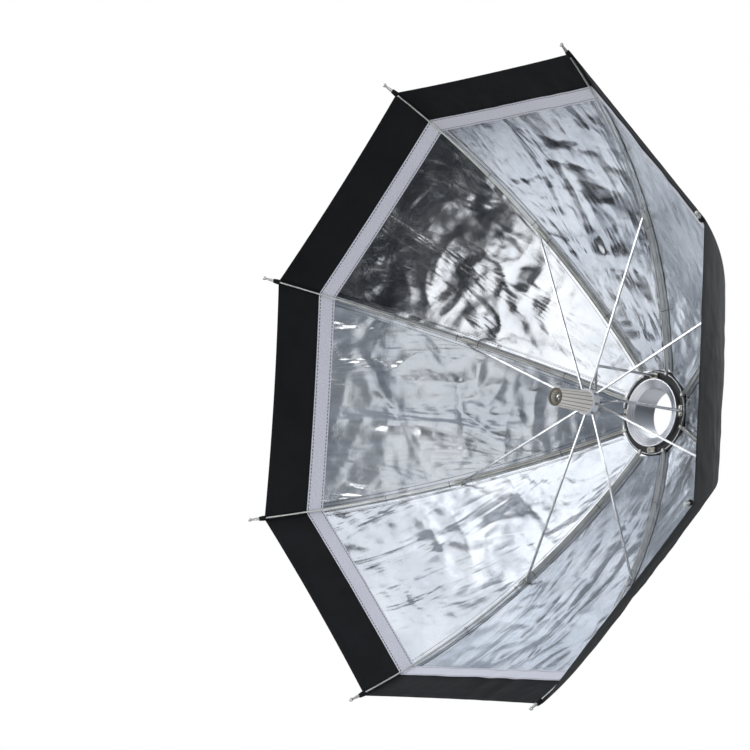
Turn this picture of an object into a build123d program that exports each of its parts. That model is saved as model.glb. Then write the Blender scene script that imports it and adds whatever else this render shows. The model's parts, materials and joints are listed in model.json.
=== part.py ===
"""Folding octagonal softbox ("octabox") with a bayonet mount, eight curved ribs and a push-in hub.

Millimetres. The part is laid out about its own light axis first: z is the distance forward of the
crown's front face, and x and y lie across. in_row() then turns that frame so that the mouth faces
-Y, +Z is up and the origin is the middle of the mount's bore at its rear seat.
"""

import os
from math import asin, atan2, cos, degrees, hypot, radians, sin, tan

from build123d import *

# ---- driving dimensions -------------------------------------------------------------------------
RIBS = 8
MOUTH_RADIUS = 600.0  # light axis to the middle of a tip ball
MOUTH_DEPTH = 495.0  # crown face to the tip balls

TUBE_DEPTH = 50.0  # crown face to the rear seat
BORE_RADIUS = 47.0
TUBE_WALL = 3.0
FLANGE_RADIUS = 75.0
FLANGE_THICKNESS = 3.0
LUG_COUNT = 3
LUG_RADIUS = 70.0
LUG_WALL = 4.0
LUG_REACH = 8.0
LUG_ANGLE = 25.0

CROWN_RADIUS = 78.5
CROWN_THICKNESS = 14.0
BEZEL_RADIUS = 63.0
BEZEL_LIP = 1.5
BEZEL_HEIGHT = 7.0
BEZEL_EDGE = 2.0

HINGE_RADIUS = 76.0  # light axis to the wire that the ribs turn on
HINGE_WIRE = 1.2
HINGE_CLEARANCE = 0.15
RIB_WIDTH = 5.0
RIB_DEPTH = 5.0
RIB_SLOT = 3.0
RIB_WALL = 1.0
RIB_EYE = 4.0
SIDE_CLEARANCE = 0.3
JOINT_RADIUS = 347.0  # light axis to the joint of rib and stretcher
JOINT_HEIGHT = 180.0
BRACKET_LENGTH = 26.0
BRACKET_WALL = 1.2
RIVET_RADIUS = 2.2
RIVET_HEIGHT = 1.2
WIRE_RADIUS = 1.8
WIRE_OVERLAP = 9.0  # how far the wire runs into the channel
FERRULE_RADIUS = 2.9
FERRULE_LENGTH = 12.0
BALL_RADIUS = 3.6

ROD_RADIUS = 2.6
ROD_RING = 69.0  # light axis to a rod's straight run
ROD_BEND = 10.0
ROD_SEAT = 9.0
FIT_CLEARANCE = 0.05
HUB_RADIUS = 14.0
HUB_LENGTH = 19.0
HUB_FRONT = 162.0
HUB_SCREW_RING = 9.0
HUB_EDGE = 1.5
CLAMP_WIDTH = 20.0
CLAMP_LENGTH = 10.0
CLAMP_THICKNESS = 3.0
SCREW_RADIUS = 2.5
SCREW_HEIGHT = 1.6
SCREW_SPREAD = 13.0

COLLAR_RADIUS = 23.6
COLLAR_THICKNESS = 14.0
COLLAR_HEIGHT = 171.0  # crown face to the stretcher pins
COLLAR_SLOT_REAR = 1.5  # room behind a stretcher's root, towards the axis
COLLAR_SLOT_FRONT = 2.0
PIN_RING = 20.0
PIN_RADIUS = 1.0
PIN_LENGTH = 9.0
SLIDE_CLEARANCE = 0.3
BARREL_LENGTH = 75.0
BARREL_REAR_RADIUS = 20.0
BARREL_FRONT_RADIUS = 16.4
BARREL_BORE = 12.0
FLUTES = 16
FLUTE_RADIUS = 1.3
FLUTE_START = 6.0
STRETCHER_WIDTH = 3.4
STRETCHER_DEPTH = 3.2
STRETCHER_SLOT = 2.0
STRETCHER_WALL = 0.8

POST_END = 240.0
POST_CAVITY = 28.0
POST_EDGE = 1.0
BUTTON_RADIUS = 8.0
BUTTON_RIM = 3.0
BUTTON_DOME = 3.0
BUTTON_TRAVEL = 4.0
BUTTON_CLEARANCE = 0.3
STEM_RADIUS = 2.5
STEM_LENGTH = 12.0
SPRING_RADIUS = 5.2
SPRING_WIRE = 0.6
SPRING_TURNS = 5

CLOTH = 1.2
CLOTH_CLEARANCE = 1.1  # cloth to the outer side of a stretcher
CLOTH_START = 87.0  # light axis to the cloth's root, along a rib
LINING_END = 530.0  # light axis to the lining's outer seam, along a rib
TAPE_END = 548.0
CLOTH_END = 591.0
BAND_THICKNESS = 1.6
BAND_LENGTH = 9.0
BAND_REAR = -13.0

# ---- worked out ---------------------------------------------------------------------------------
STEP = 360.0 / RIBS
HALF_STEP = STEP / 2
FIRST_RIB = 90.0 - HALF_STEP  # the octagon stands on a flat
RIB_ANGLES = [FIRST_RIB + STEP * n for n in range(RIBS)]
ROD_ANGLES = [0.0, 90.0, 180.0]
CLAMP_ANGLES = [0.0, 90.0, 180.0, 270.0]
TUBE_RADIUS = BORE_RADIUS + TUBE_WALL
HUB_REAR = HUB_FRONT - HUB_LENGTH
ROD_HEIGHT = HUB_FRONT - HUB_LENGTH / 2
STRETCHER_OFFSET = RIB_WIDTH / 2 + SIDE_CLEARANCE + STRETCHER_WIDTH / 2
COLLAR_REAR = COLLAR_HEIGHT - COLLAR_THICKNESS / 2
BARREL_REAR = COLLAR_REAR + COLLAR_THICKNESS
POST_RADIUS = BARREL_BORE - SLIDE_CLEARANCE
STRETCHER_SIDE = STRETCHER_OFFSET + STRETCHER_WIDTH / 2
# the cloth runs straight from rib to rib, so it comes in towards the axis beside each rib
CLOTH_DROP = STRETCHER_SIDE * tan(radians(HALF_STEP))
CLOTH_OFFSET = STRETCHER_DEPTH / 2 + CLOTH_CLEARANCE + CLOTH / 2 + CLOTH_DROP


def circle_through(a, b, c):
    """Centre and radius of the circle through three points."""
    (ax, ay), (bx, by), (cx, cy) = a, b, c
    d = 2 * (ax * (by - cy) + bx * (cy - ay) + cx * (ay - by))
    aa, bb, cc = ax * ax + ay * ay, bx * bx + by * by, cx * cx + cy * cy
    x = (aa * (by - cy) + bb * (cy - ay) + cc * (ay - by)) / d
    y = (aa * (cx - bx) + bb * (ax - cx) + cc * (bx - ax)) / d
    return x, y, hypot(ax - x, ay - y)


RIB_X, RIB_Z, RIB_BEND = circle_through(
    (HINGE_RADIUS, 0.0), (JOINT_RADIUS, JOINT_HEIGHT), (MOUTH_RADIUS, MOUTH_DEPTH)
)


def turn_at(radius, offset=0.0):
    """Angle about the rib's centre of bend at a distance from the light axis."""
    return asin((radius - RIB_X) / (RIB_BEND + offset))


def on_rib(turn, offset=0.0):
    """Point (x, z) on the rib's line, moved outward by offset."""
    reach = RIB_BEND + offset
    return RIB_X + reach * sin(turn), RIB_Z - reach * cos(turn)


def in_row(shape):
    """Turn a shape from the light axis's frame to the part's own frame."""
    return Pos(0, -TUBE_DEPTH, 0) * Rot(90, 0, 0) * shape


def about(angle, shape):
    return Rot(0, 0, angle) * shape


def save(name, *shapes):
    placed = [in_row(s) for shape in shapes for s in shape.solids()]
    node = placed[0] if len(placed) == 1 else Compound(children=placed)
    export_step(node, f"parts/{name}.step")


def tube(inner, outer, low, high):
    ring = Circle(outer) - Circle(inner)
    return Pos(0, 0, low) * extrude(ring, high - low)


def rod(radius, low, high, x=0.0, y=0.0):
    return Pos(x, y, low) * extrude(Circle(radius), high - low)


def block(x0, x1, y0, y1, z0, z1):
    return Pos((x0 + x1) / 2, (y0 + y1) / 2, (z0 + z1) / 2) * Box(x1 - x0, y1 - y0, z1 - z0)


# ---- mount: tube, flange, bayonet lugs ----------------------------------------------------------
def mount():
    save("mount_tube", tube(BORE_RADIUS, TUBE_RADIUS, FLANGE_THICKNESS - TUBE_DEPTH, 0))
    flange = tube(BORE_RADIUS, FLANGE_RADIUS, -TUBE_DEPTH, FLANGE_THICKNESS - TUBE_DEPTH)
    save("mount_flange", flange)
    lugs = []
    for n in range(LUG_COUNT):
        foot = tube(LUG_RADIUS - LUG_WALL, LUG_RADIUS, -TUBE_DEPTH - LUG_REACH, -TUBE_DEPTH)
        hook = tube(
            LUG_RADIUS - LUG_WALL,
            FLANGE_RADIUS,
            -TUBE_DEPTH - LUG_REACH,
            -TUBE_DEPTH - LUG_REACH + FLANGE_THICKNESS,
        )
        wedge = Polygon(
            (0, 0),
            (2 * FLANGE_RADIUS, -2 * FLANGE_RADIUS * tan(radians(LUG_ANGLE / 2))),
            (2 * FLANGE_RADIUS, 2 * FLANGE_RADIUS * tan(radians(LUG_ANGLE / 2))),
            align=None,
        )
        sector = Pos(0, 0, -TUBE_DEPTH - 2 * LUG_REACH) * extrude(wedge, 3 * LUG_REACH)
        lugs.append(about(90 + n * 360 / LUG_COUNT, (foot + hook) & sector))
    save("bayonet_lugs", *lugs)


# ---- crown: hinge ring, hinge wire, bezel, clamp plates, screws ---------------------------------
def crown():
    ring = tube(TUBE_RADIUS, CROWN_RADIUS, -CROWN_THICKNESS, 0)
    ring -= Torus(HINGE_RADIUS, HINGE_WIRE + FIT_CLEARANCE)
    slot_half = RIB_WIDTH / 2 + SIDE_CLEARANCE
    floor = RIB_EYE + 2 * SIDE_CLEARANCE
    for angle in RIB_ANGLES:
        inner = HINGE_RADIUS - RIB_EYE - 2 * SIDE_CLEARANCE
        ring -= about(angle, block(inner, 2 * CROWN_RADIUS, -slot_half, slot_half, -floor, floor))
    for angle in ROD_ANGLES:
        ring -= about(angle, rod(ROD_RADIUS + FIT_CLEARANCE, -ROD_SEAT, 1, ROD_RING))
    save("crown_ring", ring)
    save("hinge_wire", Torus(HINGE_RADIUS, HINGE_WIRE))

    section = Polyline(
        (BORE_RADIUS, 0),
        (BEZEL_RADIUS, 0),
        (BEZEL_RADIUS, BEZEL_HEIGHT),
        (BEZEL_RADIUS - BEZEL_EDGE, BEZEL_HEIGHT),
        (BORE_RADIUS, BEZEL_LIP),
        (BORE_RADIUS, 0),
    )
    save("bezel_ring", revolve(Plane.XZ * make_face(section), Axis.Z))

    plates, screws = [], []
    inner = BEZEL_RADIUS + 2 * SIDE_CLEARANCE
    for angle in CLAMP_ANGLES:
        plate = block(
            inner, inner + CLAMP_LENGTH, -CLAMP_WIDTH / 2, CLAMP_WIDTH / 2, 0, CLAMP_THICKNESS
        )
        plate = fillet(plate.edges().filter_by(Axis.Z), CLAMP_THICKNESS)
        if angle in ROD_ANGLES:
            plate -= rod(ROD_RADIUS + FIT_CLEARANCE, -1, CLAMP_THICKNESS + 1, ROD_RING)
        plates.append(about(angle, plate))
        for side in (-1, 1):
            head = rod(
                SCREW_RADIUS,
                CLAMP_THICKNESS,
                CLAMP_THICKNESS + SCREW_HEIGHT,
                inner + CLAMP_LENGTH / 2,
                side * SCREW_SPREAD / 2,
            )
            screws.append(about(angle, head))
    save("clamp_plates", *plates)
    save("clamp_screws", *screws)
    band = tube(CROWN_RADIUS, CROWN_RADIUS + BAND_THICKNESS, BAND_REAR, BAND_REAR + BAND_LENGTH)
    for angle in RIB_ANGLES:
        reach = 2 * CROWN_RADIUS
        band -= about(angle, block(HINGE_RADIUS, reach, -slot_half, slot_half, -floor, floor))
    save("cloth_band", band)


# ---- hub: rods, hub, post, button ---------------------------------------------------------------
def hub():
    rods = []
    for angle in ROD_ANGLES:
        line = FilletPolyline(
            (ROD_RING, 0, -ROD_SEAT + SIDE_CLEARANCE),
            (ROD_RING, 0, ROD_HEIGHT),
            (HUB_RADIUS / 2, 0, ROD_HEIGHT),
            radius=ROD_BEND,
        )
        start = Plane(origin=line @ 0, z_dir=line % 0)
        rods.append(about(angle, sweep(start * Circle(ROD_RADIUS), path=line)))
    save("hub_rods", *rods)

    body = rod(HUB_RADIUS, HUB_REAR, HUB_FRONT)
    body = fillet(body.edges().filter_by(GeomType.CIRCLE), HUB_EDGE)
    for angle in ROD_ANGLES:
        hole = Pos(0, 0, ROD_HEIGHT) * Rot(0, 90, 0) * extrude(
            Circle(ROD_RADIUS + FIT_CLEARANCE), 2 * HUB_RADIUS
        )
        body -= about(angle, Pos(HUB_RADIUS / 2, 0, 0) * hole)
    save("hub_body", body)
    heads = [
        about(n * 90 + 45, rod(SCREW_RADIUS, HUB_REAR - SCREW_HEIGHT, HUB_REAR, HUB_SCREW_RING))
        for n in range(4)
    ]
    save("hub_screws", *heads)

    post = rod(POST_RADIUS, HUB_FRONT, POST_END)
    post = chamfer(post.edges().sort_by(Axis.Z)[-1], POST_EDGE)
    post -= rod(BUTTON_RADIUS + BUTTON_CLEARANCE, POST_END - POST_CAVITY, POST_END + 1)
    save("hub_post", post)

    cap = rod(BUTTON_RADIUS, POST_END - BUTTON_RIM, POST_END + BUTTON_TRAVEL)
    ball = (BUTTON_RADIUS**2 + BUTTON_DOME**2) / (2 * BUTTON_DOME)
    top = POST_END + BUTTON_TRAVEL + BUTTON_DOME
    dome = Pos(0, 0, top - ball) * Sphere(ball)
    cap += dome & rod(BUTTON_RADIUS, POST_END, top + 1)
    stem = rod(STEM_RADIUS, POST_END - BUTTON_RIM - STEM_LENGTH, POST_END - BUTTON_RIM)
    save("release_button", cap + stem)

    room = POST_CAVITY - BUTTON_RIM - 2 * SPRING_WIRE - 2 * SIDE_CLEARANCE
    coil = Helix(room / SPRING_TURNS, room, SPRING_RADIUS)
    start = Plane(origin=coil @ 0, z_dir=coil % 0)
    spring = sweep(start * Circle(SPRING_WIRE), path=coil, is_frenet=True)
    low = POST_END - POST_CAVITY + SPRING_WIRE + SIDE_CLEARANCE
    save("button_spring", Pos(0, 0, low) * spring)


# ---- runner: collar, barrel, pins ---------------------------------------------------------------
def runner():
    collar = tube(BARREL_BORE, COLLAR_RADIUS, COLLAR_REAR, BARREL_REAR)
    half = STRETCHER_WIDTH / 2 + SIDE_CLEARANCE
    inner = PIN_RING - STRETCHER_DEPTH / 2 - COLLAR_SLOT_REAR
    outer = COLLAR_RADIUS + COLLAR_THICKNESS / 2
    front = COLLAR_HEIGHT + STRETCHER_DEPTH / 2 + COLLAR_SLOT_FRONT
    for angle in RIB_ANGLES:
        slot = block(
            inner, outer, STRETCHER_OFFSET - half, STRETCHER_OFFSET + half, COLLAR_REAR - 1, front
        )
        hole = Pos(PIN_RING, STRETCHER_OFFSET, COLLAR_HEIGHT) * Rot(90, 0, 0) * Cylinder(
            PIN_RADIUS + FIT_CLEARANCE, PIN_LENGTH + 2 * FIT_CLEARANCE
        )
        collar -= about(angle, slot + hole)
    save("runner_collar", collar)
    pin = Pos(PIN_RING, STRETCHER_OFFSET, COLLAR_HEIGHT) * Rot(90, 0, 0) * Cylinder(
        PIN_RADIUS, PIN_LENGTH
    )
    save("stretcher_pins", *[about(angle, pin) for angle in RIB_ANGLES])

    end = BARREL_REAR + BARREL_LENGTH
    section = Polyline(
        (BARREL_BORE, BARREL_REAR),
        (BARREL_REAR_RADIUS, BARREL_REAR),
        (BARREL_FRONT_RADIUS, end),
        (BARREL_BORE, end),
        (BARREL_BORE, BARREL_REAR),
    )
    barrel = revolve(Plane.XZ * make_face(section), Axis.Z)
    lean = degrees(atan2(BARREL_REAR_RADIUS - BARREL_FRONT_RADIUS, BARREL_LENGTH))
    for n in range(FLUTES):
        start = Pos(BARREL_REAR_RADIUS + FLUTE_RADIUS / 2, 0, BARREL_REAR + FLUTE_START)
        flute = start * Rot(0, -lean, 0) * extrude(Circle(FLUTE_RADIUS), BARREL_LENGTH)
        barrel -= about(n * 360 / FLUTES, flute)
    save("barrel_grip", barrel)


# ---- ribs ---------------------------------------------------------------------------------------
def arc_band(t0, t1, inner, outer, width):
    """A strip of the rib's bend between two turns, as wide as width across the rib."""
    a, b = on_rib(t0, inner), on_rib((t0 + t1) / 2, inner)
    c, d = on_rib(t1, inner), on_rib(t1, outer)
    e, f = on_rib((t0 + t1) / 2, outer), on_rib(t0, outer)
    edges = ThreePointArc(a, b, c) + Line(c, d) + ThreePointArc(d, e, f) + Line(f, a)
    return extrude(Plane.XZ * make_face(edges), width / 2, both=True)


def ribs():
    half = RIB_DEPTH / 2
    t_hinge, t_joint = turn_at(HINGE_RADIUS), turn_at(JOINT_RADIUS)
    t_tip = turn_at(MOUTH_RADIUS)
    reach = BRACKET_LENGTH / 2 / RIB_BEND
    t_end = t_joint + reach
    channel = arc_band(t_hinge, t_end, -half, half, RIB_WIDTH)
    channel += Pos(HINGE_RADIUS, 0, 0) * Rot(90, 0, 0) * Cylinder(RIB_EYE, RIB_WIDTH)
    clear = (RIB_EYE + 2) / RIB_BEND
    channel -= arc_band(
        t_hinge + clear, t_end + 1 / RIB_BEND, -half - 1, half - RIB_WALL, RIB_SLOT
    )
    channel -= Pos(HINGE_RADIUS, 0, 0) * Rot(90, 0, 0) * Cylinder(
        HINGE_WIRE + HINGE_CLEARANCE, 2 * RIB_WIDTH
    )
    bracket = arc_band(t_joint - reach, t_end, -half, half, BRACKET_WALL)
    bracket = Pos(0, -RIB_WIDTH / 2 - BRACKET_WALL / 2, 0) * bracket
    head = Pos(JOINT_RADIUS, -RIB_WIDTH / 2 - BRACKET_WALL - RIVET_HEIGHT / 2, JOINT_HEIGHT)
    bracket += head * Rot(90, 0, 0) * Cylinder(RIVET_RADIUS, RIVET_HEIGHT)

    overlap = WIRE_OVERLAP / RIB_BEND
    t_ferrule = t_tip - (BALL_RADIUS + FERRULE_LENGTH) / RIB_BEND
    middle = on_rib((t_end + t_ferrule) / 2)
    line = Plane.XZ * ThreePointArc(on_rib(t_end - overlap), middle, on_rib(t_ferrule))
    start = Plane(origin=line @ 0, z_dir=line % 0)
    wire = sweep(start * Circle(WIRE_RADIUS), path=line)
    seat = 2 * (WIRE_RADIUS + FIT_CLEARANCE)
    channel -= arc_band(t_end - overlap, t_end + 1 / RIB_BEND, -half - 1, half, seat)
    tip = Plane(origin=line @ 1, z_dir=line % 1)
    ferrule = tip * Cone(
        FERRULE_RADIUS, WIRE_RADIUS, FERRULE_LENGTH, align=(Align.CENTER, Align.CENTER, Align.MIN)
    )
    ball = Pos(MOUTH_RADIUS, 0, MOUTH_DEPTH) * Sphere(BALL_RADIUS)
    ferrule -= ball
    for n, angle in enumerate(RIB_ANGLES, 1):
        save(f"rib_channel_{n}", about(angle, channel), about(angle, bracket))
        save(f"rib_wire_{n}", *[about(angle, s) for s in (wire, ferrule, ball)])


# ---- stretchers ---------------------------------------------------------------------------------
def stretchers():
    dx, dz = JOINT_RADIUS - PIN_RING, JOINT_HEIGHT - COLLAR_HEIGHT
    length = hypot(dx, dz)
    half, deep = STRETCHER_WIDTH / 2, STRETCHER_DEPTH / 2
    bar = block(0, length, -half, half, -deep, deep)
    for x in (0, length):
        bar += Pos(x, 0, 0) * Rot(90, 0, 0) * Cylinder(deep, STRETCHER_WIDTH)
    gap = 2 * STRETCHER_DEPTH
    slot = STRETCHER_SLOT / 2
    bar -= block(gap, length - gap, -slot, slot, -deep - 1, deep - STRETCHER_WALL)
    bar -= Rot(90, 0, 0) * Cylinder(PIN_RADIUS + HINGE_CLEARANCE, 2 * STRETCHER_WIDTH)
    root = Pos(PIN_RING, STRETCHER_OFFSET, COLLAR_HEIGHT)
    placed = root * Rot(0, -degrees(atan2(dz, dx)), 0) * bar
    for n, angle in enumerate(RIB_ANGLES, 1):
        save(f"stretcher_{n}", about(angle, placed))


# ---- cloth cover: eight gores in halves ---------------------------------------------------------
def cloth_strip(r0, r1):
    """Half a gore between two distances along the rib, on the left of the gore's middle."""
    offsets = (CLOTH_OFFSET - CLOTH / 2, CLOTH_OFFSET + CLOTH / 2)
    sides = []
    for offset in offsets:
        t0, t1 = turn_at(r0, CLOTH_OFFSET), turn_at(r1, CLOTH_OFFSET)
        points = [on_rib(t0 + (t1 - t0) * n / 4, offset) for n in range(5)]
        sides.append([(x * cos(radians(HALF_STEP)), z) for x, z in points])
    inner, outer = sides
    edges = Spline(*inner) + Line(inner[-1], outer[-1])
    edges += Spline(*reversed(outer)) + Line(outer[0], inner[0])
    slab = extrude(Plane.XZ * make_face(edges), MOUTH_RADIUS, both=True)
    gap = SIDE_CLEARANCE / 2
    far = 2 * MOUTH_RADIUS
    slope = tan(radians(HALF_STEP))
    shift = gap / cos(radians(HALF_STEP))
    wedge = Polygon(
        ((gap + shift) / slope, gap), (far, gap), (far, far * slope - shift), align=None
    )
    return slab & (Pos(0, 0, -MOUTH_DEPTH) * extrude(wedge, 3 * MOUTH_DEPTH))


def cover():
    left = [
        cloth_strip(CLOTH_START, LINING_END),
        cloth_strip(LINING_END, TAPE_END),
        cloth_strip(TAPE_END, CLOTH_END),
    ]
    right = [mirror(s, about=Plane.XZ) for s in left]
    for n, angle in enumerate(RIB_ANGLES, 1):
        save(f"cover_before_{n}", *[about(angle - HALF_STEP, s) for s in left])
        save(f"cover_after_{n}", *[about(angle + HALF_STEP, s) for s in right])


os.makedirs("parts", exist_ok=True)
mount()
crown()
hub()
runner()
ribs()
stretchers()
cover()
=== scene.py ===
"""Looks of a folding octagonal softbox: cloth, seams, ties, tape, metalwork, light and camera."""

import json
from math import asin, cos, hypot, pi, radians, sin

import bmesh
import bpy
from mathutils import Matrix, Vector, noise


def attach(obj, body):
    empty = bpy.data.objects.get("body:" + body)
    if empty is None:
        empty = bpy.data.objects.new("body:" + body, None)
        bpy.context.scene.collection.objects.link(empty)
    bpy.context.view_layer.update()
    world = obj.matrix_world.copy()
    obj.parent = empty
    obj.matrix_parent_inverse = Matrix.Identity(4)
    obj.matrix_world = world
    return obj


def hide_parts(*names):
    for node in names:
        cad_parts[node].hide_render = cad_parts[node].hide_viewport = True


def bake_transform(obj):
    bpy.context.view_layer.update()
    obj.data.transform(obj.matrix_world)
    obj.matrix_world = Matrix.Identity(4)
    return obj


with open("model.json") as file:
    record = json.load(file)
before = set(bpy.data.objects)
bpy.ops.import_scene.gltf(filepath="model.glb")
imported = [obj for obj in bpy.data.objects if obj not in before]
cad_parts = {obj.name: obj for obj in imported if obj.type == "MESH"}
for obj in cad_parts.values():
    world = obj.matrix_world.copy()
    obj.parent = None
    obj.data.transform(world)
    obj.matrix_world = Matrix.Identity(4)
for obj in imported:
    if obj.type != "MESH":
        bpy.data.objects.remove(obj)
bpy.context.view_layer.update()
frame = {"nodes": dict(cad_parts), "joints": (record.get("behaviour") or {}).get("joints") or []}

bl_info = {
    "name": "Octagonal softbox",
    "version": (1, 0, 0),
    "blender": (4, 5, 0),
    "location": "View3D > Sidebar > Softbox",
    "description": "Builds the cloth, trim and finishes of a folding octagonal softbox",
    "category": "Object",
}

MM = 0.001
RIBS = 8
STEP = 2 * pi / RIBS
HALF = STEP / 2
FIRST_RIB = pi / 2 - HALF
JOINTS = {j["name"]: j for j in frame["joints"]}
CROWN_Y = JOINTS["rib_fold_1"]["pos_m"][1]  # the crown's front face
HINGE_RADIUS = hypot(JOINTS["rib_fold_1"]["pos_m"][0], JOINTS["rib_fold_1"]["pos_m"][2])
KNEE_RADIUS, KNEE_HEIGHT = 347 * MM, 180 * MM  # joint of rib and stretcher
MOUTH_RADIUS, MOUTH_DEPTH = 600 * MM, 495 * MM  # middle of a tip ball
CLOTH_OFFSET = 5.87 * MM  # rib's line to the middle of the cloth
CLOTH_START, LINING_END = 86 * MM, 530 * MM  # light axis to each seam, along a rib
TAPE_END, CLOTH_END = 548 * MM, 591 * MM
FLUTES, GRIP_END = 16, -303 * MM  # round the grip, and the place of its front end along the axis

# how far each layer lies inside the shell, and how it ends
LINING_IN, TAPE_IN, HEM_IN, SEAM_IN = -0.9 * MM, -1.7 * MM, -0.8 * MM, -1.7 * MM
TUCK = 2 * MM  # of the lining under the tape
SEAM_START = CLOTH_START + 4 * MM
HEM_SLOPE = 0.48  # about how much of a step along the cloth leads outward, at the mouth
CELLS = 34  # across half a gore

# heights of the lining's belly, its long folds, the folds across them and the small creases
BELLY, FOLDS, CROSS, SMALL = 3.5 * MM, 2.2 * MM, 1.3 * MM, 0.55 * MM
GORE_SHIFT = 1.1  # between two gores' textures, in metres, so that no two gores look alike

TIE_RADII = (190 * MM, 332 * MM, 364 * MM, 450 * MM)  # light axis to each thread tie, along a rib
POCKET_START = CLOTH_END - 6 * MM
RIVET_OFFSET = 6.2 * MM  # rib's middle to the outer side of its stretcher


# ---- the rib's bend, and the cloth between two ribs ---------------------------------------------
def circle_through(a, b, c):
    """Centre and radius of the circle through three points."""
    (ax, ay), (bx, by), (cx, cy) = a, b, c
    d = 2 * (ax * (by - cy) + bx * (cy - ay) + cx * (ay - by))
    aa, bb, cc = ax * ax + ay * ay, bx * bx + by * by, cx * cx + cy * cy
    x = (aa * (by - cy) + bb * (cy - ay) + cc * (ay - by)) / d
    y = (aa * (cx - bx) + bb * (ax - cx) + cc * (bx - ax)) / d
    return x, y, hypot(ax - x, ay - y)


BEND = circle_through((HINGE_RADIUS, 0.0), (KNEE_RADIUS, KNEE_HEIGHT), (MOUTH_RADIUS, MOUTH_DEPTH))


def turn_at(radius, offset=CLOTH_OFFSET):
    """Angle about the bend's centre at a distance from the light axis."""
    return asin((radius - BEND[0]) / (BEND[2] + offset))


def on_rib(turn, offset):
    """Distance from the light axis and height above the crown, on the rib's line moved outward."""
    reach = BEND[2] + offset
    return BEND[0] + reach * sin(turn), BEND[1] - reach * cos(turn)


def rib_angle(n):
    """Angle of rib n about the light axis."""
    return FIRST_RIB + STEP * (n - 1)


def place(radial, across, height, angle):
    """Row-frame point from a frame turned about the light axis."""
    c, s = cos(angle), sin(angle)
    return Vector((radial * c - across * s, CROWN_Y - height, radial * s + across * c))


def ridges(x, y):
    """Soft valleys with sharper crests between them, from -1 to 1."""
    return 1 - 2 * abs(noise.noise(Vector((x, y, 0.0))))


def crumple(gore, along, across, half_width):
    """How far the lining stands off its taut surface: pulls, long folds and a loose belly.

    The numbers in the noises are waves: per metre across the gore, and per whole run along it.
    """
    edge = (1 - across * across) * min(1.0, along * 5)
    end = min(1.0, (1 - along) * 7 + 0.15)
    side = across * half_width
    seed = 7.3 * gore
    bend = noise.noise(Vector((along * 6, side * 9, seed)))
    belly = BELLY * noise.noise(Vector((side * 5, along * 3.1, seed)))
    folds = FOLDS * ridges(side * 17 + seed, along * 3.2 + bend)
    cross = CROSS * ridges(side * 7 - seed, along * 13)
    small = SMALL * noise.noise(Vector((side * 46, along * 34, seed + 4)))
    return edge * end * (belly + folds + cross) + min(1.0, 6 * (1 - abs(across))) * end * small


def cloth_point(gore, radius, across, offset, loose, scallop):
    """Point of gore number gore. across runs from -1 at one rib to 1 at the next."""
    radius -= scallop * (1 - across * across)
    turn = turn_at(radius)
    along = (radius - CLOTH_START) / (CLOTH_END - CLOTH_START)
    half_width = radius * sin(HALF)
    if loose:
        offset += loose * crumple(gore, along, across, half_width)
    r, height = on_rib(turn, CLOTH_OFFSET + offset)
    return place(r * cos(HALF), across * r * sin(HALF), height, rib_angle(gore) + HALF)


def run_length(r0, r1):
    """Length along the cloth between two distances from the light axis."""
    return (turn_at(r1) - turn_at(r0)) * (BEND[2] + CLOTH_OFFSET)


def scallop_at(radius, depth):
    """The mouth's edge is pulled in between its ribs, and the pull fades towards the crown."""
    return depth * max(0.0, (radius - KNEE_RADIUS) / (CLOTH_END - KNEE_RADIUS)) ** 2


ON_SHELL = {}  # each cloth piece's vertices, moved out to the shell


def half_gore(name, side, n, r0, r1, cells, offset, loose, scallop, strip=None):
    """Half a gore beside rib n, or the strip of it within a width of the rib."""
    gore = n if side == "after" else (n - 2) % RIBS + 1
    sign = -1 if side == "after" else 1
    bm = bmesh.new()
    bmesh.ops.create_grid(bm, x_segments=cells[0], y_segments=cells[1], size=1.0)
    uv = bm.loops.layers.uv.new("cloth")
    normals, spots, on_shell = [], {}, []
    nudge = 1.5 * MM

    def point(radius, inward, layer=offset):
        across = sign * (1 - inward)
        return cloth_point(gore, radius, across, layer, loose, scallop_at(radius, scallop))

    for v in bm.verts:
        share, down = (v.co.x + 1) / 2, (v.co.y + 1) / 2
        radius = r0 + (r1 - r0) * down
        half_width = radius * sin(HALF)
        inward = share * (strip / half_width if strip else 1.0)
        beside = share * strip if strip else sign * (1 - inward) * half_width + GORE_SHIFT * gore
        spots[v] = (beside, run_length(CLOTH_START, radius))
        v.co = point(radius, inward)
        on_shell.append(point(radius, inward, 0.0))
        step = nudge / half_width
        a = point(radius, inward + step) - point(radius, inward - step)
        b = point(radius + nudge, inward) - point(radius - nudge, inward)
        normal = a.cross(b) * -sign
        normals.append(normal.normalized())
    for face in bm.faces:
        for loop in face.loops:
            loop[uv].uv = spots[loop.vert]
    bm.normal_update()
    # a rib's two sides are mirrored, which turns the grid's faces round on one of them
    wrong = sum(f.normal.dot(normals[f.verts[0].index]) < 0 for f in bm.faces)
    if wrong > len(bm.faces) / 2:
        bmesh.ops.reverse_faces(bm, faces=bm.faces)
    mesh = bpy.data.meshes.new(name)
    bm.to_mesh(mesh)
    bm.free()
    mesh.shade_smooth()
    mesh.normals_split_custom_set_from_vertices(normals)
    piece = bpy.data.objects.new(name, mesh)
    bpy.context.collection.objects.link(piece)
    ON_SHELL[name] = on_shell
    return piece


def hang(piece):
    """Move the piece's vertices out to the shell, bake its place into its mesh and put the vertices
    back.
    """
    verts = piece.data.vertices
    own = [v.co.copy() for v in verts]
    for v, spot in zip(verts, ON_SHELL[piece.name]):
        v.co = spot
    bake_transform(piece)
    for v, spot in zip(verts, own):
        v.co = spot


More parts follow.
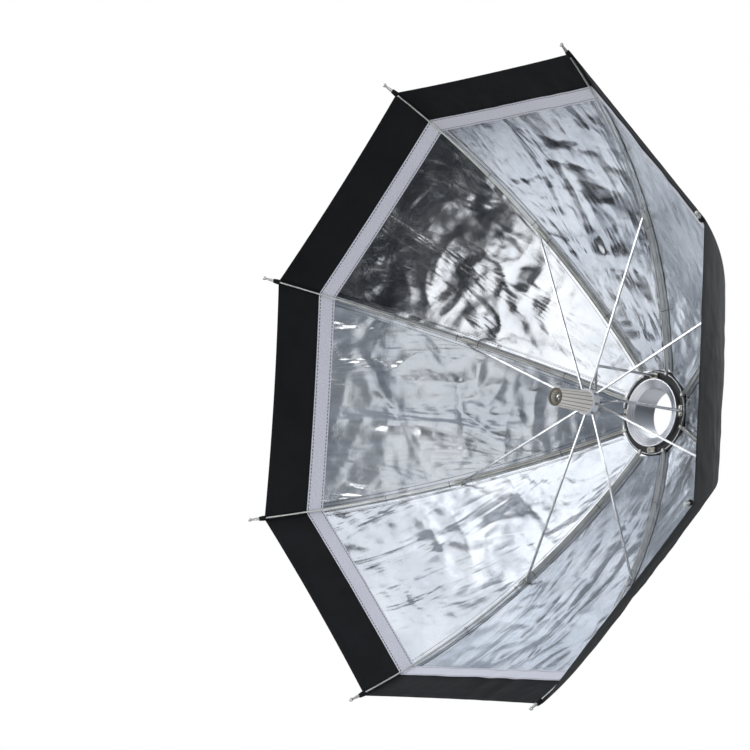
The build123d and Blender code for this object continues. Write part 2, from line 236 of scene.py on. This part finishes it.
# ---- nodes and materials ------------------------------------------------------------------------
def colour(text):
    """Linear colour of an sRGB hex value."""
    parts = [int(text[i : i + 2], 16) / 255 for i in (1, 3, 5)]
    return [*(c / 12.92 if c <= 0.04045 else ((c + 0.055) / 1.055) ** 2.4 for c in parts), 1.0]


def add(tree, kind, inputs=(), **settings):
    """Add a node; inputs pairs a socket with a value or with another node's output."""
    node = tree.nodes.new(kind)
    for key, value in settings.items():
        setattr(node, key, value)
    for socket, value in dict(inputs).items():
        if isinstance(value, bpy.types.NodeSocket):
            tree.links.new(value, node.inputs[socket])
        else:
            node.inputs[socket].default_value = value
    return node


def new_material(name):
    """A material, its node tree and its shader."""
    material = bpy.data.materials.new(name)
    material.use_nodes = True
    tree = material.node_tree
    return material, tree, tree.nodes["Principled BSDF"]


def ramp(tree, factor, stops):
    """Colour ramp whose stops are pairs of place and hex colour."""
    node = add(tree, "ShaderNodeValToRGB", {"Fac": factor})
    elements = node.color_ramp.elements
    for i, (spot, text) in enumerate(stops):
        element = elements[i] if i < 2 else elements.new(spot)
        element.position = spot
        element.color = colour(text)
    return node.outputs["Color"]


def shift(tree, factor, low, high, new_low, new_high):
    """Carry a value from one range to another."""
    node = add(
        tree,
        "ShaderNodeMapRange",
        {"Value": factor, "From Min": low, "From Max": high, "To Min": new_low, "To Max": new_high},
    )
    return node.outputs["Result"]


def bump(tree, height, strength, distance, under=None, **settings):
    """Normal that a height raises, on top of the bump under it."""
    inputs = {"Height": height, "Strength": strength, "Distance": distance}
    if under is not None:
        inputs["Normal"] = under
    return add(tree, "ShaderNodeBump", inputs, **settings).outputs["Normal"]


def aluminised_lining(name="aluminised_nylon", stitched=()):
    """Nylon with a thin aluminium film, creased by folding: bright, with cloudy dull patches."""
    material, tree, shader = new_material(name)
    spot = add(tree, "ShaderNodeTexCoord").outputs["UV"]
    clouds = add(tree, "ShaderNodeTexNoise", {"Vector": spot, "Scale": 9.0, "Detail": 5.0})
    tint = ramp(tree, clouds.outputs["Fac"], [(0.35, "#D6DBE2"), (0.65, "#F0F3F7")])
    shader.inputs["Metallic"].default_value = 1.0
    if stitched:
        split = add(tree, "ShaderNodeSeparateXYZ", {"Vector": spot})
        thread = stitch_mask(
            tree, split.outputs["Y"], split.outputs["X"], stitched, 1.2 * MM, 6 * MM
        )
        mix = add(tree, "ShaderNodeMix", {"Factor": thread}, data_type="RGBA")
        tree.links.new(tint, mix.inputs["A"])
        mix.inputs["B"].default_value = colour("#55585F")
        tint = mix.outputs["Result"]
    tree.links.new(tint, shader.inputs["Base Color"])
    fibre = add(
        tree,
        "ShaderNodeTexNoise",
        {"Vector": spot, "Scale": 150.0, "Detail": 4.0, "Distortion": 2.5},
    )
    dull = add(
        tree,
        "ShaderNodeMath",
        {0: clouds.outputs["Fac"], 1: fibre.outputs["Fac"]},
        operation="MULTIPLY",
    )
    tree.links.new(shift(tree, dull.outputs[0], 0.12, 0.42, 0.13, 0.26), shader.inputs["Roughness"])
    creases = add(
        tree,
        "ShaderNodeTexNoise",
        {"Vector": spot, "Scale": 9.0, "Detail": 1.5, "Distortion": 1.0},
    )
    stretched = add(tree, "ShaderNodeMapping", {"Vector": spot, "Scale": (14.0, 4.0, 1.0)})
    pulls = add(
        tree,
        "ShaderNodeTexNoise",
        {"Vector": stretched.outputs["Vector"], "Scale": 1.0, "Detail": 3.0, "Distortion": 0.6},
    )
    crackle = add(
        tree, "ShaderNodeTexVoronoi", {"Vector": spot, "Scale": 95.0}, feature="DISTANCE_TO_EDGE"
    )
    fine = bump(tree, fibre.outputs["Fac"], 0.12, MM)
    edges = bump(tree, crackle.outputs["Distance"], 0.04, MM, fine)
    folds = bump(tree, creases.outputs["Fac"], 0.5, 9 * MM, edges)
    long_folds = bump(tree, pulls.outputs["Fac"], 0.55, 11 * MM, folds)
    tree.links.new(long_folds, shader.inputs["Normal"])
    return material


def black_nylon():
    """Close-woven black nylon: matte, with a faint sheen at grazing angles and soft cloudy wear."""
    material, tree, shader = new_material("black_nylon")
    spot = add(tree, "ShaderNodeTexCoord").outputs["UV"]
    wear = add(tree, "ShaderNodeTexNoise", {"Vector": spot, "Scale": 14.0, "Detail": 6.0})
    tint = ramp(tree, wear.outputs["Fac"], [(0.3, "#0E0F12"), (0.7, "#17181C")])
    tree.links.new(tint, shader.inputs["Base Color"])
    shader.inputs["Roughness"].default_value = 0.72
    shader.inputs["Sheen Weight"].default_value = 0.04
    shader.inputs["Specular IOR Level"].default_value = 0.25
    shader.inputs["Sheen Roughness"].default_value = 0.4
    # the real threads are 0.3 mm apart, too fine to show, so they are drawn 1.5 mm apart
    pitch, gap = 1.5 * MM, 0.4 * MM
    sizes = {"Scale": 1.0, "Brick Width": pitch, "Row Height": pitch, "Mortar Size": gap}
    threads = add(tree, "ShaderNodeTexBrick", {"Vector": spot, **sizes})
    weave = bump(tree, threads.outputs["Fac"], 0.15, 0.3 * MM)
    rumple = add(tree, "ShaderNodeTexNoise", {"Vector": spot, "Scale": 11.0, "Detail": 3.0})
    folds = bump(tree, rumple.outputs["Fac"], 0.4, 9 * MM, weave)
    tree.links.new(folds, shader.inputs["Normal"])
    return material


def stitch_mask(tree, along, across, lines, width, pitch):
    """1 on dashes along lines at given distances across the strip."""
    shown = 0.68 * pitch  # length of a stitch, before the gap to the next
    dash = add(tree, "ShaderNodeMath", {0: along, 1: pitch, 2: 0.0}, operation="WRAP")
    thread = add(tree, "ShaderNodeMath", {0: dash.outputs[0], 1: shown}, operation="LESS_THAN")
    total = None
    for line in lines:
        near = add(tree, "ShaderNodeMath", {0: across, 1: line, 2: width / 2}, operation="COMPARE")
        inputs = {0: near.outputs[0], 1: thread.outputs[0]}
        both = add(tree, "ShaderNodeMath", inputs, operation="MULTIPLY").outputs[0]
        if total is None:
            total = both
        else:
            total = add(tree, "ShaderNodeMath", {0: total, 1: both}, operation="MAXIMUM").outputs[0]
    return total


def hook_tape():
    """Pale woven fastening tape with a dark thread along each edge."""
    material, tree, shader = new_material("woven_tape")
    uv = add(tree, "ShaderNodeTexCoord").outputs["UV"]
    split = add(tree, "ShaderNodeSeparateXYZ", {"Vector": uv})
    start, end = run_length(CLOTH_START, LINING_END), run_length(CLOTH_START, TAPE_END)
    inset = 3.2 * MM
    thread = stitch_mask(
        tree, split.outputs["X"], split.outputs["Y"], (start + inset, end - inset), 1.5 * MM, 7 * MM
    )
    pile = add(tree, "ShaderNodeTexNoise", {"Vector": uv, "Scale": 320.0, "Detail": 3.0})
    pale = ramp(tree, pile.outputs["Fac"], [(0.3, "#D9DAE8"), (0.7, "#F0F0F8")])
    mix = add(tree, "ShaderNodeMix", data_type="RGBA")
    tree.links.new(thread, mix.inputs["Factor"])
    tree.links.new(pale, mix.inputs["A"])
    mix.inputs["B"].default_value = colour("#4A4C58")
    tree.links.new(mix.outputs["Result"], shader.inputs["Base Color"])
    shader.inputs["Roughness"].default_value = 0.85
    shader.inputs["Sheen Weight"].default_value = 0.2
    rough = bump(tree, pile.outputs["Fac"], 0.5, 0.6 * MM)
    sunk = bump(tree, thread, 0.6, 0.5 * MM, rough, invert=True)
    tree.links.new(sunk, shader.inputs["Normal"])
    return material


def metal(name, light, dark, roughness, scale, scratches=0.15):
    """Metal with faint stains and fine scratches."""
    material, tree, shader = new_material(name)
    spot = add(tree, "ShaderNodeTexCoord").outputs["Object"]
    stain = add(tree, "ShaderNodeTexNoise", {"Vector": spot, "Scale": 38.0, "Detail": 4.0})
    tint = ramp(tree, stain.outputs["Fac"], [(0.3, dark), (0.7, light)])
    tree.links.new(tint, shader.inputs["Base Color"])
    shader.inputs["Metallic"].default_value = 1.0
    grain = add(tree, "ShaderNodeTexNoise", {"Vector": spot, "Scale": scale, "Detail": 3.0})
    dull = shift(tree, grain.outputs["Fac"], 0.3, 0.7, *roughness)
    tree.links.new(dull, shader.inputs["Roughness"])
    worn = bump(tree, grain.outputs["Fac"], scratches, 0.3 * MM)
    tree.links.new(worn, shader.inputs["Normal"])
    return material


def turned_aluminium():
    """Aluminium turned on a lathe: fine rings about the light axis, and a soft lustre."""
    material, tree, shader = new_material("turned_aluminium")
    spot = add(tree, "ShaderNodeTexCoord").outputs["Object"]
    flat = add(tree, "ShaderNodeMapping", {"Vector": spot, "Scale": (1.0, 0.0, 1.0)})
    far = add(tree, "ShaderNodeVectorMath", {0: flat.outputs["Vector"]}, operation="LENGTH")
    # tool marks are 0.2 mm apart, and are drawn 0.9 mm apart so that they show
    inputs = {"W": far.outputs["Value"], "Scale": 1100.0}
    rings = add(tree, "ShaderNodeTexNoise", inputs, noise_dimensions="1D")
    tint = ramp(tree, rings.outputs["Fac"], [(0.3, "#C3C5CA"), (0.7, "#DDDEE2")])
    tree.links.new(tint, shader.inputs["Base Color"])
    shader.inputs["Metallic"].default_value = 1.0
    dull = shift(tree, rings.outputs["Fac"], 0.3, 0.7, 0.24, 0.38)
    tree.links.new(dull, shader.inputs["Roughness"])
    marks = bump(tree, rings.outputs["Fac"], 0.12, 0.2 * MM)
    tree.links.new(marks, shader.inputs["Normal"])
    return material


def moulded(name, light, dark, roughness, scale):
    """Moulded plastic or powder coat: even colour, slightly pebbled."""
    material, tree, shader = new_material(name)
    spot = add(tree, "ShaderNodeTexCoord").outputs["Object"]
    grain = add(tree, "ShaderNodeTexNoise", {"Vector": spot, "Scale": scale, "Detail": 4.0})
    tint = ramp(tree, grain.outputs["Fac"], [(0.3, dark), (0.7, light)])
    tree.links.new(tint, shader.inputs["Base Color"])
    shader.inputs["Roughness"].default_value = roughness
    pebble = bump(tree, grain.outputs["Fac"], 0.2, 0.2 * MM)
    tree.links.new(pebble, shader.inputs["Normal"])
    return material


def ivory_lacquer():
    """Sprayed ivory lacquer on the grip: glossy, with painted shade along its flutes and a bare
    dark end.
    """
    material, tree, shader = new_material("ivory_lacquer")
    spot = add(tree, "ShaderNodeTexCoord").outputs["Object"]
    split = add(tree, "ShaderNodeSeparateXYZ", {"Vector": spot})
    angle = add(
        tree, "ShaderNodeMath", {0: split.outputs["Z"], 1: split.outputs["X"]}, operation="ARCTAN2"
    )
    flutes = add(tree, "ShaderNodeMath", {0: angle.outputs[0], 1: FLUTES}, operation="MULTIPLY")
    flute_shade = add(tree, "ShaderNodeMath", {0: flutes.outputs[0]}, operation="COSINE")
    grain = add(tree, "ShaderNodeTexNoise", {"Vector": spot, "Scale": 220.0, "Detail": 3.0})
    # painted shade: a narrow dark line is coloured along the bottom of each flute
    body = ramp(tree, flute_shade.outputs[0], [(0.7, "#F8F3EA"), (0.97, "#8F8779")])
    lacquered, stripped = GRIP_END + 1.9 * MM, GRIP_END + 1.8 * MM  # the lacquer ends between them
    bare = shift(tree, split.outputs["Y"], lacquered, stripped, 0.0, 1.0)
    mix = add(tree, "ShaderNodeMix", {"Factor": bare}, data_type="RGBA")
    tree.links.new(body, mix.inputs["A"])
    mix.inputs["B"].default_value = colour("#4B483F")
    tree.links.new(mix.outputs["Result"], shader.inputs["Base Color"])
    tree.links.new(bare, shader.inputs["Metallic"])
    dull = shift(tree, grain.outputs["Fac"], 0.3, 0.7, 0.26, 0.36)
    tree.links.new(dull, shader.inputs["Roughness"])
    orange_peel = bump(tree, grain.outputs["Fac"], 0.1, 0.2 * MM)
    tree.links.new(orange_peel, shader.inputs["Normal"])
    return material


MATERIALS = {}


def finish(name):
    """The named material, made once."""
    makers = {
        "lining": aluminised_lining,
        "seam": lambda: aluminised_lining("stitched_seam", (6 * MM, 12.5 * MM)),
        "nylon": black_nylon,
        "tape": hook_tape,
        "turned": turned_aluminium,
        "nickel": lambda: metal("nickel_plated_wire", "#D3D5D8", "#A9ABAE", (0.16, 0.3), 420.0),
        "rib": lambda: metal("galvanised_rib_steel", "#EFEFEC", "#D3D2CC", (0.36, 0.52), 300.0),
        "grip": ivory_lacquer,
        "post": lambda: metal("dark_nickel", "#8A867C", "#5D5A52", (0.12, 0.24), 300.0, 0.03),
        "zinc": lambda: metal("zinc_plated_steel", "#CFCFCB", "#8F8C82", (0.25, 0.5), 260.0),
        "chrome": lambda: metal("polished_chrome", "#C9C9C9", "#8E8E8E", (0.08, 0.16), 300.0, 0.03),
        "powder": lambda: moulded("black_powder_coat", "#2A2A2B", "#19191A", 0.42, 520.0),
        "white": lambda: moulded("white_nylon", "#F2F3F7", "#E4E6EC", 0.38, 180.0),
        "thread": lambda: moulded("waxed_thread", "#3A3B40", "#202126", 0.7, 900.0),
    }
    if name not in MATERIALS:
        MATERIALS[name] = makers[name]()
    return MATERIALS[name]


def dress(piece, name):
    """Give a made piece its finish."""
    piece.data.materials.clear()
    piece.data.materials.append(finish(name))


# ---- small made pieces --------------------------------------------------------------------------
def solid(name, bm, matrix=None):
    """Object from a bmesh, with its place in its mesh."""
    if matrix is not None:
        bmesh.ops.transform(bm, matrix=matrix, verts=bm.verts)
    bmesh.ops.recalc_face_normals(bm, faces=bm.faces)
    mesh = bpy.data.meshes.new(name)
    bm.to_mesh(mesh)
    bm.free()
    mesh.shade_smooth()
    mesh.set_sharp_from_angle(angle=radians(35))
    piece = bpy.data.objects.new(name, mesh)
    bpy.context.collection.objects.link(piece)
    return piece


def lathe(bm, outline, steps):
    """Spin an outline of (radius, height) pairs about Z and join it to bm."""
    verts = [bm.verts.new((r, 0, z)) for r, z in outline]
    edges = [bm.edges.new(pair) for pair in zip(verts, verts[1:])]
    bmesh.ops.spin(
        bm,
        geom=verts + edges,
        cent=(0, 0, 0),
        axis=(0, 0, 1),
        angle=2 * pi,
        steps=steps,
        use_merge=True,
    )
    bmesh.ops.remove_doubles(bm, verts=bm.verts, dist=1e-6)


def facing(origin, way, side=None):
    """Matrix that puts Z along way and the origin at origin."""
    z = way.normalized()
    x = (side if side is not None else z.orthogonal()).normalized()
    y = z.cross(x).normalized()
    x = y.cross(z)
    m = Matrix((x, y, z)).transposed().to_4x4()
    m.translation = origin
    return m


def rib_frame(n, radius, offset):
    """Point on rib n, the way along it, and the way out of it."""
    turn = asin((radius - BEND[0]) / BEND[2])
    r, h = on_rib(turn, offset)
    angle = rib_angle(n)
    here = place(r, 0.0, h, angle)
    along = place(r + cos(turn), 0.0, h + sin(turn), angle) - here
    out = place(r + sin(turn), 0.0, h - cos(turn), angle) - here
    return here, along, out


# ---- operators ----------------------------------------------------------------------------------
def each_half():
    """Every half gore: its rib, and the side of the rib that it lies on."""
    for n in range(1, RIBS + 1):
        for side in ("before", "after"):
            yield n, side


def lay(context, layer, r0, r1, cells, offset, look, slot, strip=None, stands_for=None):
    """One layer of the cover, as a sheet on each half gore."""
    sizes = context.scene.octabox_cloth
    for n, side in each_half():
        name = f"{layer}_{side}_{n}"
        piece = half_gore(name, side, n, r0, r1, cells, offset, sizes.crumple, sizes.scallop, strip)
        dress(piece, look)
        if stands_for:
            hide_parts(f"{stands_for}_{side}_{n}")
        hang(piece)
    return {"FINISHED"}


class ClothSizes(bpy.types.PropertyGroup):
    crumple: bpy.props.FloatProperty(
        name="Crumple", description="How loose the cloth lies", default=1.0, min=0.0, max=3.0
    )
    seam_width: bpy.props.FloatProperty(
        name="Seam width", description="Folded seam beside each rib", default=15 * MM, unit="LENGTH"
    )
    hem_width: bpy.props.FloatProperty(
        name="Hem width", description="Turned hem along the mouth", default=12 * MM, unit="LENGTH"
    )
    scallop: bpy.props.FloatProperty(
        name="Scallop", description="Pull on the mouth's edge", default=2 * MM, unit="LENGTH"
    )


class StageSizes(bpy.types.PropertyGroup):
    floor_height: bpy.props.FloatProperty(
        name="Floor", description="Height of the floor", default=-1.3, unit="LENGTH"
    )
    floor_size: bpy.props.FloatProperty(
        name="Floor size", description="Length of the floor's sides", default=3.0, unit="LENGTH"
    )
    backdrop: bpy.props.FloatVectorProperty(
        name="Backdrop",
        description="Colour seen behind the object",
        subtype="COLOR",
        default=(1.0, 1.0, 1.0),
    )
    focal: bpy.props.FloatProperty(
        name="Lens", description="Focal length in millimetres", default=125.1
    )


class OCTABOX_OT_shell(bpy.types.Operator):
    """Black outer cover, whose inside shows as the rim"""

    bl_idname = "octabox.shell"
    bl_label = "Black shell"

    def execute(self, context):
        ends, cells = (CLOTH_START, CLOTH_END), (CELLS, 124)
        return lay(context, "shell", *ends, cells, 0.0, "nylon", "cover_cloth", stands_for="cover")


class OCTABOX_OT_lining(bpy.types.Operator):
    """Silver lining from the crown to the tape"""

    bl_idname = "octabox.lining"
    bl_label = "Silver lining"

    def execute(self, context):
        ends, cells = (CLOTH_START, LINING_END + TUCK), (CELLS, 110)
        return lay(context, "lining", *ends, cells, LINING_IN, "lining", "cover_cloth")


class OCTABOX_OT_tape(bpy.types.Operator):
    """Pale tape over the lining's outer seam"""

    bl_idname = "octabox.tape"
    bl_label = "Tape"

    def execute(self, context):
        ends, cells = (LINING_END, TAPE_END), (CELLS, 4)
        return lay(context, "tape", *ends, cells, TAPE_IN, "tape", "cover_cloth")


class OCTABOX_OT_hem(bpy.types.Operator):
    """Turned hem inside the mouth's edge"""

    bl_idname = "octabox.hem"
    bl_label = "Hem"

    def execute(self, context):
        width = context.scene.octabox_cloth.hem_width * HEM_SLOPE
        ends, cells = (CLOTH_END - width, CLOTH_END), (CELLS, 3)
        return lay(context, "hem", *ends, cells, HEM_IN, "nylon", "black_nylon")


class OCTABOX_OT_seams(bpy.types.Operator):
    """Folded silver seam beside each rib"""

    bl_idname = "octabox.seams"
    bl_label = "Rib seams"

    def execute(self, context):
        ends, cells = (SEAM_START, LINING_END), (4, 110)
        strip = context.scene.octabox_cloth.seam_width
        return lay(context, "seam", *ends, cells, SEAM_IN, "seam", "cover_cloth", strip=strip)


class OCTABOX_OT_ties(bpy.types.Operator):
    """Thread loops that tie the seams to the ribs, and cloth pockets at the tips"""

    bl_idname = "octabox.ties"
    bl_label = "Ties and pockets"

    def execute(self, context):
        for n in range(1, RIBS + 1):
            bm = bmesh.new()
            for radius in TIE_RADII:
                here, along, out = rib_frame(n, radius, offset=0.5 * MM)
                loop = bmesh.new()
                lathe(loop, [(3.9 * MM, -0.5 * MM), (4.2 * MM, 0), (3.9 * MM, 0.5 * MM)], 12)
                bmesh.ops.transform(loop, matrix=facing(here, along, out), verts=loop.verts)
                part = bpy.data.meshes.new("loop")
                loop.to_mesh(part)
                loop.free()
                bm.from_mesh(part)
                bpy.data.meshes.remove(part)
            piece = solid(f"rib_ties_{n}", bm)
            dress(piece, "thread")
            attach(piece, f"rib_{n}")

            here, along, out = rib_frame(n, POCKET_START, offset=0.6 * MM)
            bm = bmesh.new()
            outline = [(3.0, 0), (4.6, 0.4), (4.9, 3), (4.5, 8), (3.9, 12), (3.2, 13), (2.4, 12.4)]
            lathe(bm, [(r * MM, z * MM) for r, z in outline], 20)
            piece = solid(f"tip_pocket_{n}", bm, facing(here, along, out))
            dress(piece, "nylon")
            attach(piece, f"rib_{n}")
        return {"FINISHED"}


class OCTABOX_OT_rivets(bpy.types.Operator):
    """Rivet head on the outer end of each stretcher"""

    bl_idname = "octabox.rivets"
    bl_label = "Rivets"

    def execute(self, context):
        for n in range(1, RIBS + 1):
            here = place(KNEE_RADIUS, RIVET_OFFSET, KNEE_HEIGHT, rib_angle(n))
            way = place(KNEE_RADIUS, RIVET_OFFSET + 1, KNEE_HEIGHT, rib_angle(n)) - here
            bm = bmesh.new()
            outline = [(0, 1.5), (1.0, 1.4), (1.9, 0.9), (2.3, 0.2), (2.3, -0.1)]
            lathe(bm, [(r * MM, z * MM) for r, z in outline], 16)
            piece = solid(f"knee_rivet_{n}", bm, facing(here, way))
            dress(piece, "zinc")
            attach(piece, f"stretcher_{n}")
        return {"FINISHED"}


class OCTABOX_OT_metalwork(bpy.types.Operator):
    """Finishes of the mount, crown, hub, runner, ribs and stretchers"""

    bl_idname = "octabox.metalwork"
    bl_label = "Metalwork"

    FINISHES = {
        "turned": ("mount_tube", "mount_flange", "bezel_ring"),
        "zinc": (
            "bayonet_lugs", "clamp_plates", "clamp_screws",
            "hub_screws", "stretcher_pins", "button_spring",
        ),
        "powder": ("crown_ring",),
        "nickel": ("hinge_wire", "hub_rods", "hub_body"),
        "grip": ("barrel_grip",),
        "post": ("hub_post",),
        "chrome": ("release_button",),
        "white": ("runner_collar",),
        "nylon": ("cloth_band",),
    }

    def execute(self, context):
        for name, nodes in self.FINISHES.items():
            for node in nodes:
                self.coat(node, name)
        for n in range(1, RIBS + 1):
            self.coat(f"rib_channel_{n}", "rib")
            self.coat(f"rib_wire_{n}", "rib")
            self.coat(f"stretcher_{n}", "nickel")
        return {"FINISHED"}

    @staticmethod
    def coat(node, name):
        """Give a frame node its finish, without touching its mesh."""
        piece = frame["nodes"][node]
        for slot in piece.material_slots:
            slot.link = "OBJECT"
            slot.material = finish(name)


class OCTABOX_OT_stage(bpy.types.Operator):
    """Floor, soft lights and camera"""

    bl_idname = "octabox.stage"
    bl_label = "Stage"

    def execute(self, context):
        sizes = context.scene.octabox_stage
        middle = Vector((0, -0.25, 0))  # of the object
        floor_back = 0.8  # the floor's middle lies this far behind the mount
        bm = bmesh.new()
        bmesh.ops.create_grid(bm, x_segments=1, y_segments=1, size=sizes.floor_size / 2)
        floor = solid("floor", bm, Matrix.Translation((0, floor_back, sizes.floor_height)))
        floor.data.materials.append(self.pale())
        self.world(context, sizes)
        lights = [  # name, place, length of its sides, power
            ("key", (-3.1, -2.6, 1.6), 2.4, 72.0),
            ("top", (0.3, -1.0, 3.6), 2.6, 14.0),
            ("front_high", (-0.2, -3.3, 2.7), 2.4, 17.0),
            ("front_low", (-0.7, -3.5, -1.85), 3.2, 40.0),
            ("fill", (4.2, -5.6, 0.9), 3.0, 17.0),
            ("right", (3.4, -0.6, 1.6), 1.6, 7.0),
            ("side_low", (3.3, -2.3, -1.7), 1.8, 42.0),
            ("rear", (-1.0, 3.4, 1.8), 3.0, 50.0),
        ]
        for name, spot, size, power in lights:
            light = bpy.data.lights.new(name, "AREA")
            light.size = size
            light.energy = power
            lamp = bpy.data.objects.new(name, light)
            turn = (middle - Vector(spot)).to_track_quat("-Z", "Y")
            lamp.matrix_world = Matrix.Translation(spot) @ turn.to_matrix().to_4x4()
            context.collection.objects.link(lamp)
        context.scene.view_settings.view_transform = "Standard"
        self.camera(context, sizes)
        return {"FINISHED"}

    @staticmethod
    def pale():
        """Plain pale floor."""
        material, tree, shader = new_material("pale_floor")
        spot = add(tree, "ShaderNodeTexCoord").outputs["Object"]
        grain = add(tree, "ShaderNodeTexNoise", {"Vector": spot, "Scale": 3.0})
        tint = ramp(tree, grain.outputs["Fac"], [(0.3, "#E9E9E8"), (0.7, "#F1F1F0")])
        tree.links.new(tint, shader.inputs["Base Color"])
        shader.inputs["Roughness"].default_value = 0.8
        return material

    @staticmethod
    def world(context, sizes):
        """White to look at, with a dimmer room to be lit by, so bright metal keeps its contrast."""
        world = bpy.data.worlds.new("studio")
        context.scene.world = world
        world.use_nodes = True
        tree = world.node_tree
        tree.nodes.clear()
        path = add(tree, "ShaderNodeLightPath")
        seen = add(tree, "ShaderNodeBackground", {"Color": (*sizes.backdrop, 1.0), "Strength": 1.0})
        way = add(tree, "ShaderNodeTexCoord").outputs["Generated"]
        height = add(tree, "ShaderNodeSeparateXYZ", {"Vector": way}).outputs["Z"]
        stops = [(0.25, "#26282C"), (0.5, "#74797F"), (0.8, "#A9AFB8")]
        walls = ramp(tree, shift(tree, height, -1.0, 1.0, 0.0, 1.0), stops)
        room = add(tree, "ShaderNodeBackground", {"Color": walls, "Strength": 0.8})
        mix = add(
            tree,
            "ShaderNodeMixShader",
            {0: path.outputs["Is Camera Ray"], 1: room.outputs[0], 2: seen.outputs[0]},
        )
        add(tree, "ShaderNodeOutputWorld", {"Surface": mix.outputs[0]})

    @staticmethod
    def camera(context, sizes):
        """A long lens, off to the mouth's right and a little below the light axis."""
        stand = (3.330, -3.499, -0.578)
        data = bpy.data.cameras.new("camera")
        data.lens = sizes.focal
        data.sensor_width = 36.0
        camera = bpy.data.objects.new("camera", data)
        view = Vector((-0.7615, 0.635, 0.129)).normalized()
        right = Vector((0.645, 0.763, 0.054)).normalized()
        up = right.cross(view).normalized()
        right = view.cross(up)
        turn = Matrix((right, up, -view)).transposed().to_4x4()
        camera.matrix_world = Matrix.Translation(stand) @ turn
        context.collection.objects.link(camera)
        context.scene.camera = camera


class OCTABOX_PT_panel(bpy.types.Panel):
    """Softbox tools"""

    bl_idname = "OCTABOX_PT_panel"
    bl_label = "Softbox"
    bl_space_type = "VIEW_3D"
    bl_region_type = "UI"
    bl_category = "Softbox"

    def draw(self, context):
        for group in (context.scene.octabox_cloth, context.scene.octabox_stage):
            for name in group.bl_rna.properties.keys():
                if name not in ("rna_type", "name"):
                    self.layout.prop(group, name)
        for operator in OPERATORS:
            self.layout.operator(operator.bl_idname)


OPERATORS = (
    OCTABOX_OT_stage,
    OCTABOX_OT_shell,
    OCTABOX_OT_lining,
    OCTABOX_OT_tape,
    OCTABOX_OT_hem,
    OCTABOX_OT_seams,
    OCTABOX_OT_ties,
    OCTABOX_OT_rivets,
    OCTABOX_OT_metalwork,
)
CLASSES = (ClothSizes, StageSizes, *OPERATORS, OCTABOX_PT_panel)


def register():
    for item in CLASSES:
        bpy.utils.register_class(item)
    bpy.types.Scene.octabox_cloth = bpy.props.PointerProperty(type=ClothSizes)
    bpy.types.Scene.octabox_stage = bpy.props.PointerProperty(type=StageSizes)


def unregister():
    del bpy.types.Scene.octabox_stage
    del bpy.types.Scene.octabox_cloth
    for item in reversed(CLASSES):
        bpy.utils.unregister_class(item)


def main():
    register()
    for operator in OPERATORS:
        group, name = operator.bl_idname.split(".")
        getattr(getattr(bpy.ops, group), name)()


if __name__ == "__main__":
    main()
